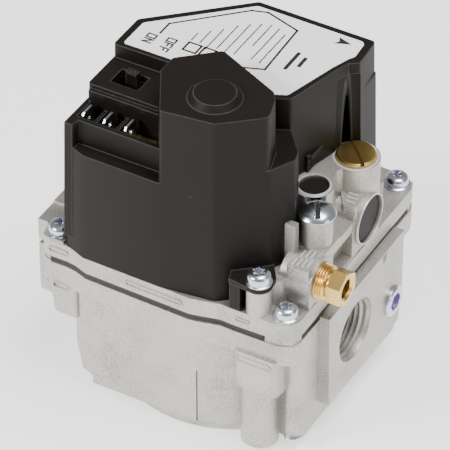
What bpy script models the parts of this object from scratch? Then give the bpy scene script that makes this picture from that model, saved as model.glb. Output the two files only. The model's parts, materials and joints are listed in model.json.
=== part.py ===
"""Gas valve: two castings, a stepped plastic cover, two solenoids, a main valve and a regulator."""

import math

import bmesh
import bpy
from mathutils import Matrix, Vector

# Driving dimensions, in millimetres, measured from the flange centre at its top face
MM = 0.001
SHIFT = Vector((-2.4, 0.13, 57.0))
FLANGE_T = 6.5
GASKET_T = 1.7
PORT_Y = -6.4
PORT_Z = -26.5
PORT_R = 10.6
PORT_FACE = 50.9
BODY_BOTTOM = -53.5
PAN_BOTTOM = -57.0
PAN_C = (4.0, -4.5)
TOWER = (40.0, 11.7)
BOSS = (35.3, -8.2)
CHROME = (41.6, -17.4)
TOP_Z = 29.5
EAR = (33.2, -40.2)
PILOT_Y = -25.2
PILOT_Z = 7.5
VENT_Y = 6.4
VENT_Z = 10.4
COIL_A = (-17.0, -7.0)
COIL_B = (10.0, 13.0)
COVER_WALL = 2.0
TAPER = 0.00055
TAPER_Y = -5.0
CORNERS = ((42.1, -38.2), (42.1, 38.2), (-42.1, 38.2), (-42.1, -38.2))

for old in list(bpy.data.objects):
    bpy.data.objects.remove(old, do_unlink=True)

COLOURS = {
    "casting": ((0.60, 0.59, 0.57), 0.85, 0.5),
    "black": ((0.035, 0.032, 0.030), 0.0, 0.45),
    "rubber": ((0.03, 0.03, 0.03), 0.0, 0.8),
    "brass": ((0.62, 0.42, 0.16), 1.0, 0.3),
    "zinc": ((0.66, 0.68, 0.72), 1.0, 0.25),
    "steel": ((0.55, 0.56, 0.58), 1.0, 0.3),
    "label": ((0.85, 0.85, 0.83), 0.0, 0.5),
    "coil": ((0.30, 0.10, 0.04), 0.0, 0.5),
    "board": ((0.20, 0.14, 0.06), 0.0, 0.6),
}
MATERIALS = {}
for slot, (colour, metal, rough) in COLOURS.items():
    material = bpy.data.materials.new(slot)
    material.use_nodes = True
    shader = material.node_tree.nodes["Principled BSDF"]
    shader.inputs["Base Color"].default_value = (*colour, 1.0)
    shader.inputs["Metallic"].default_value = metal
    shader.inputs["Roughness"].default_value = rough
    MATERIALS[slot] = material


def made(name, verts, faces):
    mesh = bpy.data.meshes.new(name)
    mesh.from_pydata([(Vector(v) + SHIFT) * MM for v in verts], [], faces)
    mesh.validate()
    bm = bmesh.new()
    bm.from_mesh(mesh)
    bmesh.ops.recalc_face_normals(bm, faces=bm.faces)
    bm.to_mesh(mesh)
    bm.free()
    obj = bpy.data.objects.new(name, mesh)
    bpy.context.scene.collection.objects.link(obj)
    return obj


def prism(name, outline, low, high, axis="z"):
    """A straight block: the outline lies across the axis, in the order of the other two axes."""
    n = len(outline)
    verts = []
    for level in (low, high):
        for a, b in outline:
            if axis == "z":
                verts.append((a, b, level))
            elif axis == "x":
                verts.append((level, a, b))
            else:
                verts.append((a, level, b))
    faces = [tuple(range(n)), tuple(range(n, 2 * n))]
    faces += [(i, (i + 1) % n, n + (i + 1) % n, n + i) for i in range(n)]
    return made(name, verts, faces)


def box(name, low, high):
    outline = [(low[0], low[1]), (high[0], low[1]), (high[0], high[1]), (low[0], high[1])]
    return prism(name, outline, low[2], high[2])


def circle(cx, cy, r, n=20, start=0.0):
    steps = [start + 2 * math.pi * i / n for i in range(n)]
    return [(cx + r * math.cos(t), cy + r * math.sin(t)) for t in steps]


def cylinder(name, centre, r, low, high, axis="z", n=20):
    return prism(name, circle(centre[0], centre[1], r, n), low, high, axis)


def turned(name, centre, profile, axis="z", n=20):
    """A round piece from (radius, height) points. The profile is closed, either onto the axis or as a ring."""
    cx, cy = centre
    ring = profile[0][0] > 0 or profile[-1][0] > 0
    verts = []
    rows = []
    for r, h in profile:
        row = []
        count = 1 if r == 0 else n
        for i in range(count):
            t = 2 * math.pi * i / n
            a = cx + r * math.cos(t)
            b = cy + r * math.sin(t)
            row.append(len(verts))
            verts.append((a, b, h) if axis == "z" else (h, a, b))
        rows.append(row)
    faces = []
    pairs = list(zip(rows, rows[1:]))
    if ring:
        pairs.append((rows[-1], rows[0]))
    for first, second in pairs:
        for i in range(n):
            j = (i + 1) % n
            if len(first) == 1 and len(second) == 1:
                continue
            if len(first) == 1:
                faces.append((first[0], second[i], second[j]))
            elif len(second) == 1:
                faces.append((first[i], second[0], first[j]))
            else:
                faces.append((first[i], second[i], second[j], first[j]))
    return made(name, verts, faces)


def helix(name, centre, r, wire, low, high, turns, per_turn=10, sides=5):
    steps = turns * per_turn
    verts = []
    for i in range(steps + 1):
        t = 2 * math.pi * i / per_turn
        z = low + wire + (high - low - 2 * wire) * i / steps
        out = Vector((math.cos(t), math.sin(t), 0.0))
        centre_line = Vector((centre[0], centre[1], z)) + out * r
        for k in range(sides):
            s = 2 * math.pi * k / sides
            verts.append(centre_line + out * (wire * math.cos(s)) + Vector((0, 0, wire * math.sin(s))))
    faces = [tuple(range(sides)), tuple(range(steps * sides, (steps + 1) * sides))]
    for i in range(steps):
        for k in range(sides):
            a = i * sides + k
            b = i * sides + (k + 1) % sides
            faces.append((a, b, b + sides, a + sides))
    return made(name, verts, faces)


def combine(target, operation, tools):
    for tool in tools:
        modifier = target.modifiers.new("step", "BOOLEAN")
        modifier.operation = operation
        modifier.solver = "EXACT"
        modifier.object = tool
        bpy.context.view_layer.update()
        graph = bpy.context.evaluated_depsgraph_get()
        mesh = bpy.data.meshes.new_from_object(target.evaluated_get(graph))
        target.modifiers.clear()
        target.data = mesh
        bpy.data.objects.remove(tool, do_unlink=True)
    return target


def cut(target, *tools):
    return combine(target, "DIFFERENCE", tools)


def join(target, *tools):
    return combine(target, "UNION", tools)


def taper(obj):
    for vertex in obj.data.vertices:
        z = vertex.co.z / MM - SHIFT.z
        s = 1.0 - TAPER * max(z, 0.0)
        x = vertex.co.x / MM - SHIFT.x
        y = vertex.co.y / MM - SHIFT.y
        vertex.co.x = (x * s + SHIFT.x) * MM
        vertex.co.y = ((y - TAPER_Y) * s + TAPER_Y + SHIFT.y) * MM
    return obj


def untapered(points, z):
    s = 1.0 - TAPER * z
    return [(x / s, (y - TAPER_Y) / s + TAPER_Y) for x, y in points]


def inset(points, distance):
    """The outline moved inwards. It has to run anticlockwise."""
    area = sum(a[0] * b[1] - b[0] * a[1] for a, b in zip(points, points[1:] + points[:1]))
    if area < 0:
        points = points[::-1]
    moved = []
    n = len(points)
    for i in range(n):
        before = Vector(points[i - 1])
        here = Vector(points[i])
        after = Vector(points[(i + 1) % n])
        d1 = (here - before).normalized()
        d2 = (after - here).normalized()
        n1 = Vector((-d1.y, d1.x))
        n2 = Vector((-d2.y, d2.x))
        bisector = (n1 + n2).normalized()
        moved.append(tuple(here + bisector * (distance / max(bisector.dot(n1), 0.35))))
    return moved


def rounded(points, radii, steps=4):
    """Rounds each corner by its own radius."""
    out = []
    n = len(points)
    for i in range(n):
        r = radii[i] if isinstance(radii, (list, tuple)) else radii
        here = Vector(points[i])
        if r <= 0:
            out.append(tuple(here))
            continue
        a = (Vector(points[i - 1]) - here)
        b = (Vector(points[(i + 1) % n]) - here)
        half = a.angle(b) / 2
        reach = min(r / math.tan(half), a.length * 0.49, b.length * 0.49)
        r = reach * math.tan(half)
        a.normalize()
        b.normalize()
        middle = here + (a + b).normalized() * (r / math.sin(half))
        first = here + a * reach - middle
        last = here + b * reach - middle
        sweep = first.angle_signed(last)
        for k in range(steps + 1):
            t = -sweep * k / steps
            c = math.cos(t)
            s = math.sin(t)
            out.append((middle.x + first.x * c - first.y * s, middle.y + first.x * s + first.y * c))
    return out


def paint(obj, slot):
    obj.data.materials.clear()
    obj.data.materials.append(MATERIALS[slot])
    return obj


# ---------------------------------------------------------------- the flange outline, front and mirrored back
FRONT = [
    (-47.5, -38.6), (-46.4, -41.8), (-42.5, -43.6), (-36.8, -43.5), (-33.0, -44.0), (-28.3, -45.6),
    (11.0, -46.3), (14.7, -45.5), (21.3, -43.8), (26.0, -44.0), (42.0, -43.6), (46.4, -41.4), (47.5, -38.0),
]
BACK = [(47.5, 38.0), (46.4, 41.4), (42.0, 43.6), (26.0, 44.0), (21.3, 43.8), (14.7, 45.5), (11.0, 46.3),
        (-28.3, 45.6), (-33.0, 44.0), (-36.8, 43.5), (-42.5, 43.6), (-46.4, 41.8), (-47.5, 38.6)]
FLANGE = FRONT + BACK

# ---------------------------------------------------------------- lower body
lower_body = prism("lower_body", FLANGE, -17.5, -FLANGE_T - GASKET_T)
PORT_FACE_OUTLINE = [(-25.0, -8.2), (27.0, -8.2), (27.0, -33.0), (21.5, -43.0), (21.5, -47.5), (-24.0, -46.0)]
INLET_OUTLINE = [(-38.0, -8.2), (27.0, -8.2), (27.0, -33.0), (21.5, -43.0), (21.5, -47.5), (-26.6, -46.3),
                 (-30.4, -41.7), (-30.9, -35.7), (-38.0, -27.7)]
SKIRT = [(-26.6, -45.9), (13.0, -45.4)]
for step in range(6):
    angle = math.radians(-76.0 + step * 8.3)
    SKIRT.append((3.0 + 45.5 * math.cos(angle), -0.5 + 45.5 * math.sin(angle)))
SKIRT += [(36.0, -36.0), (44.0, -37.5), (47.0, -35.0), (47.0, 33.5), (40.0, 37.0), (13.0, 45.2), (-26.6, 45.2),
          (-27.6, 43.0), (-33.5, 42.0), (-42.5, 30.0), (-42.5, -30.0), (-33.5, -41.0), (-27.6, -43.0)]
LAND_RIGHT = [(37.2, -36.9), (37.2, -43.3), (41.9, -43.2), (46.1, -41.2), (47.1, -37.9), (47.1, -36.9)]
LAND_LEFT = [(-43.4, -36.9), (-47.1, -36.9), (-47.1, -38.6), (-46.1, -41.5), (-43.4, -42.8)]
join(
    lower_body,
    prism("t", SKIRT, BODY_BOTTOM, -10.0),
    prism("t", rounded([(-42.8, -43.3), (-33.5, -43.6), (-33.5, -20.0), (-42.8, -20.0)], 1.5), -30.0, -10.0),
    prism("t", rounded([(-33.6, -42.9), (-27.0, -43.2), (-26.0, -20.0), (-33.6, -20.0)], 1.5), -48.5, -10.0),
    prism("t", [(-47.2, -38.6), (-44.0, -43.0), (-42.0, -43.2), (-42.0, -30.0), (-47.2, -30.0)], -22.5, -10.0),
    prism("t", rounded([(26.5, -44.9), (42.0, -44.9), (44.0, -30.0), (26.5, -30.0)], 2.0), -31.0, -16.0),
    cylinder("t", (33.2, -38.7), 6.4, -55.5, -20.0),
    prism("t", rounded([(41.0, -39.0), (47.3, -39.0), (47.3, -20.0), (41.0, -20.0)], 3.0), -51.5, -16.0),
    prism("t", PORT_FACE_OUTLINE, 30.0, PORT_FACE, "x"),
    prism("t", INLET_OUTLINE, -PORT_FACE, -30.0, "x"),
)
for land in (LAND_RIGHT, LAND_LEFT, [(x, -y) for x, y in LAND_RIGHT], [(-x, -y) for x, y in LAND_RIGHT]):
    join(lower_body, prism("t", land, -10.0, -FLANGE_T))
cut(
    lower_body,
    turned("t", (PORT_Y, PORT_Z), [(0, 55.0), (12.2, 55.0), (11.1, PORT_FACE - 0.9), (PORT_R, PORT_FACE - 1.6),
                                   (PORT_R - 0.6, 32.0), (0, 32.0)], "x"),
    turned("t", (PORT_Y, PORT_Z), [(0, -55.0), (12.2, -55.0), (11.1, -PORT_FACE + 0.9), (PORT_R, -PORT_FACE + 1.6),
                                   (PORT_R - 0.6, -28.0), (0, -28.0)], "x"),
    box("t", (-31.0, -24.0, -34.0), (20.0, 16.0, 5.0)),
    cylinder("t", (PAN_C[0], PAN_C[1]), 28.0, -60.0, -38.0, n=28),
    cylinder("t", PAN_C, 33.2, -60.0, -51.5, n=32),
    box("t", (24.5, -17.0, -50.0), (34.5, 6.0, -15.0)),
    cylinder("t", PAN_C, 9.2, -45.0, -30.0),
    turned("t", (19.5, -33.2), [(0, 60.0), (4.2, 60.0), (4.2, 42.0), (0, 42.0)], "x", 20),
    turned("t", (19.5, -33.2), [(0, -60.0), (4.2, -60.0), (4.2, -42.0), (0, -42.0)], "x", 20),
)
for x, y in CORNERS:
    cut(lower_body, cylinder("t", (x, y), 2.3, -19.0, 5.0, n=20))
PAN_SCREWS = [(PAN_C[0] + 35.6 * math.cos(math.radians(a)), PAN_C[1] + 35.6 * math.sin(math.radians(a)))
              for a in (45.0, 135.0, 225.0, 315.0)]
for x, y in PAN_SCREWS:
    cut(lower_body, cylinder("t", (x, y), 1.8, -70.0, -44.0, n=16))
paint(lower_body, "casting")

# ---------------------------------------------------------------- gasket between the castings
gasket_outline = [
    (-47.1, -36.5), (-43.2, -36.5), (-43.2, -42.9), (-36.8, -43.0), (-33.0, -43.5), (-28.3, -45.1), (11.0, -45.8),
    (14.7, -45.0), (21.3, -43.3), (26.0, -43.5), (36.8, -43.4), (36.8, -36.5), (47.1, -36.5), (47.1, 36.0),
    (36.8, 36.0), (36.8, 43.4), (26.0, 43.5), (21.3, 43.3), (14.7, 45.0), (11.0, 45.8), (-28.3, 45.1),
    (-33.0, 43.5), (-36.8, 43.0), (-36.8, 36.0), (-47.1, 36.0),
]
body_gasket = prism("body_gasket", gasket_outline, -FLANGE_T - GASKET_T, -FLANGE_T)
cut(
    body_gasket,
    box("t", (-31.0, -24.0, -12.0), (20.0, 16.0, 0.0)),
    *[cylinder("t", corner, 2.4, -12.0, 0.0, n=20) for corner in CORNERS],
)
paint(body_gasket, "rubber")

# ---------------------------------------------------------------- upper casting
upper_casting = prism("upper_casting", FLANGE, -FLANGE_T, 0.0)


def features(grow):
    """The raised parts of the casting. Grown a little, they cut the room for themselves out of the cover."""
    g = grow
    web = [(31.4 - g, -3.0), (33.0 - g, 15.0), (46.5 + g, 15.0), (47.0 + g, 8.0), (41.5 + g, -9.0), (30.0 - g, -11.5)]
    deck = [(34.5 - g, -22.6 - g), (47.2 + g, -22.6 - g), (47.2 + g, -12.0), (34.5 - g, -12.0)]
    block = [(35.0 - g, -14.0), (47.2 + g, -14.0), (47.2 + g, 14.0), (35.0 - g, 14.0)]
    lug = [(34.8 - g, -26.6 - g), (38.5 + g, -26.6 - g), (38.5 + g, -23.9 + g), (34.8 - g, -23.9 + g)]
    vent_pad = [(34.0 - g, -2.5 - g), (47.0 + g, -2.5 - g), (47.0 + g, 13.0 + g), (34.0 - g, 13.0 + g)]
    pilot_pad = [(38.6 - g, -32.4 - g), (46.6 + g, -32.4 - g), (46.6 + g, -20.2), (38.6 - g, -20.2)]
    return [
        cylinder("t", TOWER, 8.0 + g, -1.0, TOP_Z + g, n=28),
        cylinder("t", BOSS, 6.5 + g, -1.0, TOP_Z + g),
        prism("t", rounded([(28.9 - g, -9.6), (28.5 - g, -5.5), (29.8 - g, 0.2), (32.6 - g, 9.9), (33.2 - g, 15.0),
                            (44.0 + g, 5.5), (39.6 + g, 4.2), (38.3 + g, 1.5), (39.4 + g, -2.5), (40.8 + g, -5.5)],
                           [0, 0, 0, 0, 0, 0, 1.5, 1.5, 1.0, 0]), -1.0, TOP_Z - 0.01 + g),
        cylinder("t", CHROME, 5.2 + g, -1.0, 27.2 + g, n=20),
        prism("t", deck, -1.0, 16.0 + g),
        prism("t", block, -1.0, 15.2 + g),
        prism("t", lug, -1.0, 26.5 + g),
        prism("t", vent_pad, -1.0, 17.5 + g),
        cylinder("t", (VENT_Y, VENT_Z), 9.0 + g, 38.0, 48.3 + g, "x", n=24),
        cylinder("t", (PILOT_Y, PILOT_Z), 7.8 + g, 36.0 - g, 47.5 + g, "x", n=20),
        prism("t", rounded(pilot_pad, 0.8), 10.8 - g, 15.2 + g),
        prism("t", [(36.0 - g, -32.6 - g), (47.3 + g, -32.6 - g), (47.3 + g, -17.8 + g), (36.0 - g, -17.8 + g)], -1.0, 7.5),
        cylinder("t", EAR, 4.1 + g, -1.0, 10.3 + (g if g else 0.0), n=20),
        prism("t", [(31.0, -38.0), (38.6, -34.8), (39.2, -28.0), (33.0, -24.0)] if not g else
              [(30.7, -38.3), (39.5, -35.3), (39.5, -27.7), (32.7, -23.7)], -1.0, 10.3 + g),
    ]


join(upper_casting, *features(0.0))
join(
    upper_casting,
    prism("t", [(-50.9, -38.0), (-44.0, -38.0), (-44.0, -28.0), (-50.9, -28.0)], -FLANGE_T, 2.0),
    prism("t", [(-50.9, -28.2), (-50.9, 27.0), (-44.0, 27.0), (-44.0, -28.2)], -FLANGE_T, 2.6),
    box("t", (-44.4, -43.2, -1.0), (-38.0, -41.0, 0.7)),
    box("t", (-12.0, -46.2, -0.5), (10.0, -44.0, -0.01)),
)
cut(
    upper_casting,
    cylinder("t", TOWER, 5.2, 1.0, 40.0, n=20),
    cylinder("t", TOWER, 6.2, -10.0, 1.0, n=20),
    cylinder("t", BOSS, 5.0, 23.0, 40.0, n=20),
    cylinder("t", CHROME, 2.2, 10.0, 40.0, n=20),
    cylinder("t", CHROME, 6.6, 27.2, 40.0),
    cylinder("t", CORNERS[3], 4.8, 0.0, 9.0),
    turned("t", (VENT_Y, VENT_Z), [(0, 60.0), (8.5, 60.0), (8.5, 45.4), (0, 45.4)], "x", 20),
    turned("t", (PILOT_Y, PILOT_Z), [(0, 60.0), (5.2, 60.0), (5.2, 40.0), (0, 40.0)], "x", 20),
    prism("t", [(43.2, -16.6), (60.0, -16.6), (60.0, -3.4), (43.2, -3.4)], 0.8, 11.6),
    cylinder("t", EAR, 1.8, 1.0, 30.0, n=20),
    cylinder("t", COIL_A, 7.2, -3.5, 5.0, n=20),
    cylinder("t", COIL_A, 1.5, -10.0, 0.0, n=16),
    cylinder("t", COIL_B, 7.2, -3.5, 5.0, n=20),
    cylinder("t", COIL_B, 1.5, -10.0, 0.0, n=16),
)
for x, y in CORNERS:
    cut(upper_casting, cylinder("t", (x, y), 2.3, -10.0, 5.0, n=20))
paint(upper_casting, "casting")

# ---------------------------------------------------------------- black cover
NOSE = [(-28.9, -45.95), (0.0, -46.1), (18.9, -43.6), (32.6, -31.9)]
TAIL = [(37.2, -22.9), (36.0, -18.8), (28.3, -9.9), (33.6, 10.7), (35.3, 16.2), (38.5, 19.0), (38.3, 31.5), (-6.7, 31.7),
        (-37.2, 3.2)]
TAIL_R = [2, 0, 0, 0, 0, 1, 1.5, 2, 2]
O_LOW = rounded([(-37.3, -42.9), (-33.8, -44.1)] + NOSE + TAIL, [1.5, 0, 0, 0, 3.5, 3] + TAIL_R)
O_50 = rounded([(-37.2, -44.1), (-33.8, -44.1), (-33.5, -41.0), (-2.8, -41.0)] + NOSE[1:] + TAIL,
               [1, 1, 0.5, 0, 1, 3.5, 3] + TAIL_R)
O_51 = untapered([(-36.1, -43.0), (-33.0, -43.2), (-32.6, -40.0), (-2.6, -40.0), (5.0, -20.0), (22.9, -12.0),
                  (27.4, -9.8), (30.0, 0.0), (30.0, 25.0), (-6.5, 29.0), (-36.0, 2.9)], 51.0)
O_57 = rounded(untapered([(-36.0, -28.3), (-10.0, -28.3), (-10.0, 0.0), (-36.0, 0.0)], 57.0), [1.0, 0, 0, 0])
O_62 = rounded(untapered([(-36.0, -12.3), (22.9, -12.0), (27.4, -9.8), (32.6, 10.0), (34.4, 15.5), (37.4, 17.4),
                          (36.5, 30.1), (-6.5, 30.5), (-36.0, 2.9)], 62.0), [1.0, 0, 1.5, 0, 0, 1, 1.5, 2, 2])
O_70 = rounded([(-10.4, -19.6), (2.1, -8.1), (27.2, -19.4), (29.9, -23.1)] + NOSE[:0:-1] + [(-10.5, -27.46)],
               [1.5, 2, 2, 1, 3, 3.5, 1.5, 1.0])
STEPS = [(O_LOW, 42.0), (O_50, 50.0), (O_51, 51.2), (O_57, 57.0), (O_62, 62.2), (O_70, 70.6)]
cover = prism("cover", STEPS[0][0], 0.0, STEPS[0][1])
for outline, top in STEPS[1:]:
    join(cover, prism("t", outline, 0.0 if top > 51.3 else 5.0, top))
taper(cover)
INNER = [
    (untapered([(-36.4, -42.0), (-28.3, -45.0), (11.0, -45.6), (18.5, -42.6), (31.5, -31.2), (36.3, -22.3), (27.6, -9.8),
                (32.6, 10.0), (37.3, 18.0), (37.2, 30.4), (-6.5, 30.7), (-36.2, 2.9)], 42.0), 40.0),
    (untapered([(-36.1, -40.0), (-2.4, -40.0), (0.0, -44.8), (18.3, -42.2), (31.5, -31.0), (36.0, -22.3),
                (27.4, -9.8), (32.6, 10.0), (37.4, 18.0), (37.0, 30.1), (-6.5, 30.5), (-36.0, 2.9)], 50.0), 48.0),
    (untapered([(-36.0, -28.3), (-10.0, -28.3), (-10.0, 0.0), (-36.0, 0.0)], 57.0), 55.0),
    (untapered([(-36.0, -12.3), (22.9, -12.0), (27.4, -9.8), (32.6, 10.0), (37.4, 17.4), (36.5, 30.1),
                (-6.5, 30.5), (-36.0, 2.9)], 62.0), 60.2),
    (untapered([(-10.0, -19.0), (2.0, -8.0), (26.2, -18.8), (31.4, -30.8), (18.3, -42.1), (-0.3, -44.4),
                (-10.1, -26.6)], 70.0), 68.6),
]
for outline, top in INNER:
    cut(cover, taper(prism("t", inset(outline, COVER_WALL), -3.0, top)))
join(
    cover,
    turned("t", (11.6, -30.2), [(0, 72.6), (6.8, 72.6), (8.95, 70.4), (8.95, 69.5), (0, 69.5)]),
    cylinder("t", EAR, 4.5, 10.3, 12.0, n=20),
    prism("t", [(23.0, -40.0), (24.0, -43.6), (29.0, -44.4), (33.2, -44.65), (37.7, -40.2), (37.2, -36.0), (33.0, -30.0),
                (25.0, -36.0)], 10.3, 12.0),
    prism("t", [(23.6, -39.0), (24.2, -43.4), (26.4, -43.9), (28.2, -43.9), (28.2, -41.0), (26.0, -36.0)], 0.2, 11.0),
    prism("t", [(-35.0, -39.0), (-3.0, -39.0), (-8.4, -28.4), (-35.0, -28.4)], 42.5, 44.5),
    box("t", (-35.0, -29.8, 42.5), (-9.0, -28.35, 55.5)),
)
cut(
    cover,
    prism("t", [(-34.1, -38.2), (-4.25, -38.2), (-8.9, -29.8), (-34.1, -29.8)], 44.5, 54.0),
    box("t", (-30.3, -24.0, 50.0), (-20.2, -16.6, 60.0)),
    cylinder("t", EAR, 2.2, 5.0, 20.0, n=20),
    cylinder("t", TOWER, 7.1, 25.0, 58.0, n=28),
    *features(0.3),
)
for x in (-32.5, -24.8, -17.0):
    cut(cover, box("t", (x - 0.8, -38.0, 40.0), (x + 0.8, -30.7, 48.0)))
join(
    cover,
    box("t", (-29.2, -38.4, 44.0), (-28.0, -29.6, 49.5)),
    box("t", (-21.2, -38.4, 44.0), (-20.0, -29.6, 49.5)),
)
paint(cover, "black")

label_outline = rounded(untapered([(-33.4, -10.6), (21.8, -10.4), (25.6, -8.6), (31.0, 10.8), (33.4, 17.6), (34.6, 19.5),
                                   (34.0, 27.8), (-5.6, 28.2), (-33.4, 1.9)], 62.0), [1, 1, 1.5, 0, 0, 2, 2, 2, 2])
rating_label = taper(prism("rating_label", label_outline, 62.2, 62.35))
cut(rating_label, prism("t", inset(untapered([(-10.0, -19.0), (2.0, -8.0), (26.2, -18.8), (20.0, -30.0),
                                               (-10.0, -30.0)], 70.0), -1.2), 60.0, 66.0))
paint(rating_label, "label")


# ---------------------------------------------------------------- screws and plugs
def pan_screw(name, centre, seat, r, height, shank, depth, axis="z", slot="zinc", n=20):
    h = height
    profile = [(0, seat + h), (r * 0.55, seat + h * 0.97), (r * 0.86, seat + h * 0.72), (r, seat + h * 0.35), (r, seat),
               (shank, seat), (shank, seat - depth), (0, seat - depth)]
    screw = turned(name, centre, profile, axis, n)
    socket = r * 0.42
    if axis == "z":
        cut(screw, cylinder("t", centre, socket, seat + h * 0.45, seat + h + 2, n=6))
    return paint(screw, slot)


names = ("flange_screw_front_right", "flange_screw_back_right", "flange_screw_back_left", "flange_screw_front_left")
for name, (x, y) in zip(names, CORNERS):
    screw = turned(name, (x, y), [(0, 4.2), (2.2, 4.1), (3.2, 3.75), (3.75, 3.1), (3.9, 2.3), (3.9, 1.0), (4.5, 0.7), (4.5, 0.0),
                                  (2.0, 0.0), (2.0, -18.0), (0, -18.0)], n=16)
    paint(cut(screw, cylinder("t", (x, y), 1.7, 2.2, 8.0, n=6)), "zinc")
cover_screw = turned("cover_screw", EAR, [(0, 16.2), (2.2, 16.1), (3.2, 15.75), (3.75, 15.1), (3.9, 14.3), (3.9, 12.6), (4.4, 12.4), (4.4, 12.0),
                                          (1.6, 12.0), (1.6, 2.0), (0, 2.0)], n=20)
paint(cut(cover_screw, cylinder("t", EAR, 1.7, 13.5, 18.0, n=6)), "zinc")
regulator_cap = turned("regulator_cap", TOWER, [(0, 31.0), (6.2, 31.0), (6.65, 30.6), (6.65, 29.5), (4.9, 29.5), (4.9, 24.5),
                                                (0, 24.5)], n=24)
slot_box = box("t", (-0.65, -9.0, 30.1), (0.65, 9.0, 33.0))
slot_box.data.transform(Matrix.Translation(-SHIFT * MM))
slot_box.data.transform(Matrix.Rotation(math.radians(45.6), 4, "Z"))
slot_box.data.transform(Matrix.Translation((SHIFT + Vector((TOWER[0], TOWER[1], 0.0))) * MM))
paint(cut(regulator_cap, slot_box), "brass")
chrome_screw = turned("pilot_cover_screw", CHROME, [(0, 30.0), (2.4, 29.8), (4.6, 29.0), (5.8, 28.1), (6.2, 27.5), (6.2, 27.2),
                                                    (1.9, 27.2), (1.9, 12.0), (0, 12.0)], n=20)
paint(cut(chrome_screw, box("t", (CHROME[0] - 0.6, CHROME[1] - 9.0, 28.6), (CHROME[0] + 0.6, CHROME[1] + 9.0, 33.0))), "zinc")
paint(turned("blanking_plug", BOSS, [(0, 29.0), (4.3, 29.0), (4.7, 28.6), (4.7, 24.0), (0, 24.0)], n=20), "black")
paint(turned("vent_plug", (VENT_Y, VENT_Z), [(0, 47.6), (7.9, 47.6), (8.3, 47.2), (8.3, 45.4), (0, 45.4)], "x", 20), "black")
pilot_nut = prism("pilot_nut", circle(PILOT_Y, PILOT_Z, 7.2, 6, math.radians(30.0)), 49.3, 57.3, "x")
join(
    pilot_nut,
    turned("t", (PILOT_Y, PILOT_Z), [(0, 49.6), (6.3, 49.6), (6.3, 47.6), (4.9, 47.6), (4.9, 41.0), (0, 41.0)], "x", 20),
)
paint(cut(pilot_nut, turned("t", (PILOT_Y, PILOT_Z), [(0, 60.0), (3.1, 60.0), (3.1, 43.0), (0, 43.0)], "x", 20)), "brass")
for name, sign in (("outlet_tap_plug", 1.0), ("inlet_tap_plug", -1.0)):
    face = PORT_FACE * sign
    plug = turned(name, (19.5, -33.2), [(0, face + 1.6 * sign), (4.9, face + 1.6 * sign), (5.5, face + 1.1 * sign),
                                        (5.5, face), (3.9, face), (3.9, face - 7.5 * sign), (0, face - 7.5 * sign)], "x", 20)
    hole = sorted((face - 3.5 * sign, face + 4.0 * sign))
    paint(cut(plug, prism("t", circle(19.5, -33.2, 2.7, 6), hole[0], hole[1], "x")), "zinc")

# ---------------------------------------------------------------- switch and terminals
switch_base = box("switch_base", (-33.5, -26.0, 44.8), (-14.0, -14.5, 54.5))
cut(switch_base, box("t", (-30.6, -23.4, 47.0), (-20.0, -16.8, 60.0)))
paint(switch_base, "black")
switch_knob = box("switch_knob", (-27.5, -19.3, 47.3), (-23.5, -16.9, 58.8))
join(switch_knob, box("t", (-28.2, -21.6, 47.3), (-22.8, -17.1, 52.0)))
for k in range(3):
    cut(switch_knob, box("t", (-26.95 + 1.2 * k, -30.0, 58.2), (-26.45 + 1.2 * k, 0.0, 60.0)))
paint(switch_knob, "black")
paint(box("switch_contact", (-20.9, -22.8, 47.0), (-20.3, -17.4, 55.5)), "steel")
for k, x in enumerate((-32.5, -24.8, -17.0)):
    blade = prism("terminal_%d" % (k + 1), [(-37.6, 35.0), (-31.1, 35.0), (-31.1, 51.2), (-32.1, 52.2), (-36.6, 52.2),
                                            (-37.6, 51.2)], x - 0.4, x + 0.4, "x")
    cut(blade, cylinder("t", (-34.4, 48.9), 0.9, x - 3.0, x + 3.0, "x", n=12))
    paint(blade, "steel")
paint(box("terminal_strip", (-16.3, -33.4, 44.5), (-9.0, -30.6, 45.3)), "brass")
terminal_board = box("terminal_board", (-33.6, -38.4, 38.2), (-9.5, -15.0, 39.8))
for x in (-32.5, -24.8, -17.0):
    cut(terminal_board, box("t", (x - 0.5, -37.9, 35.0), (x + 0.5, -30.8, 45.0)))
paint(terminal_board, "board")


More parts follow.
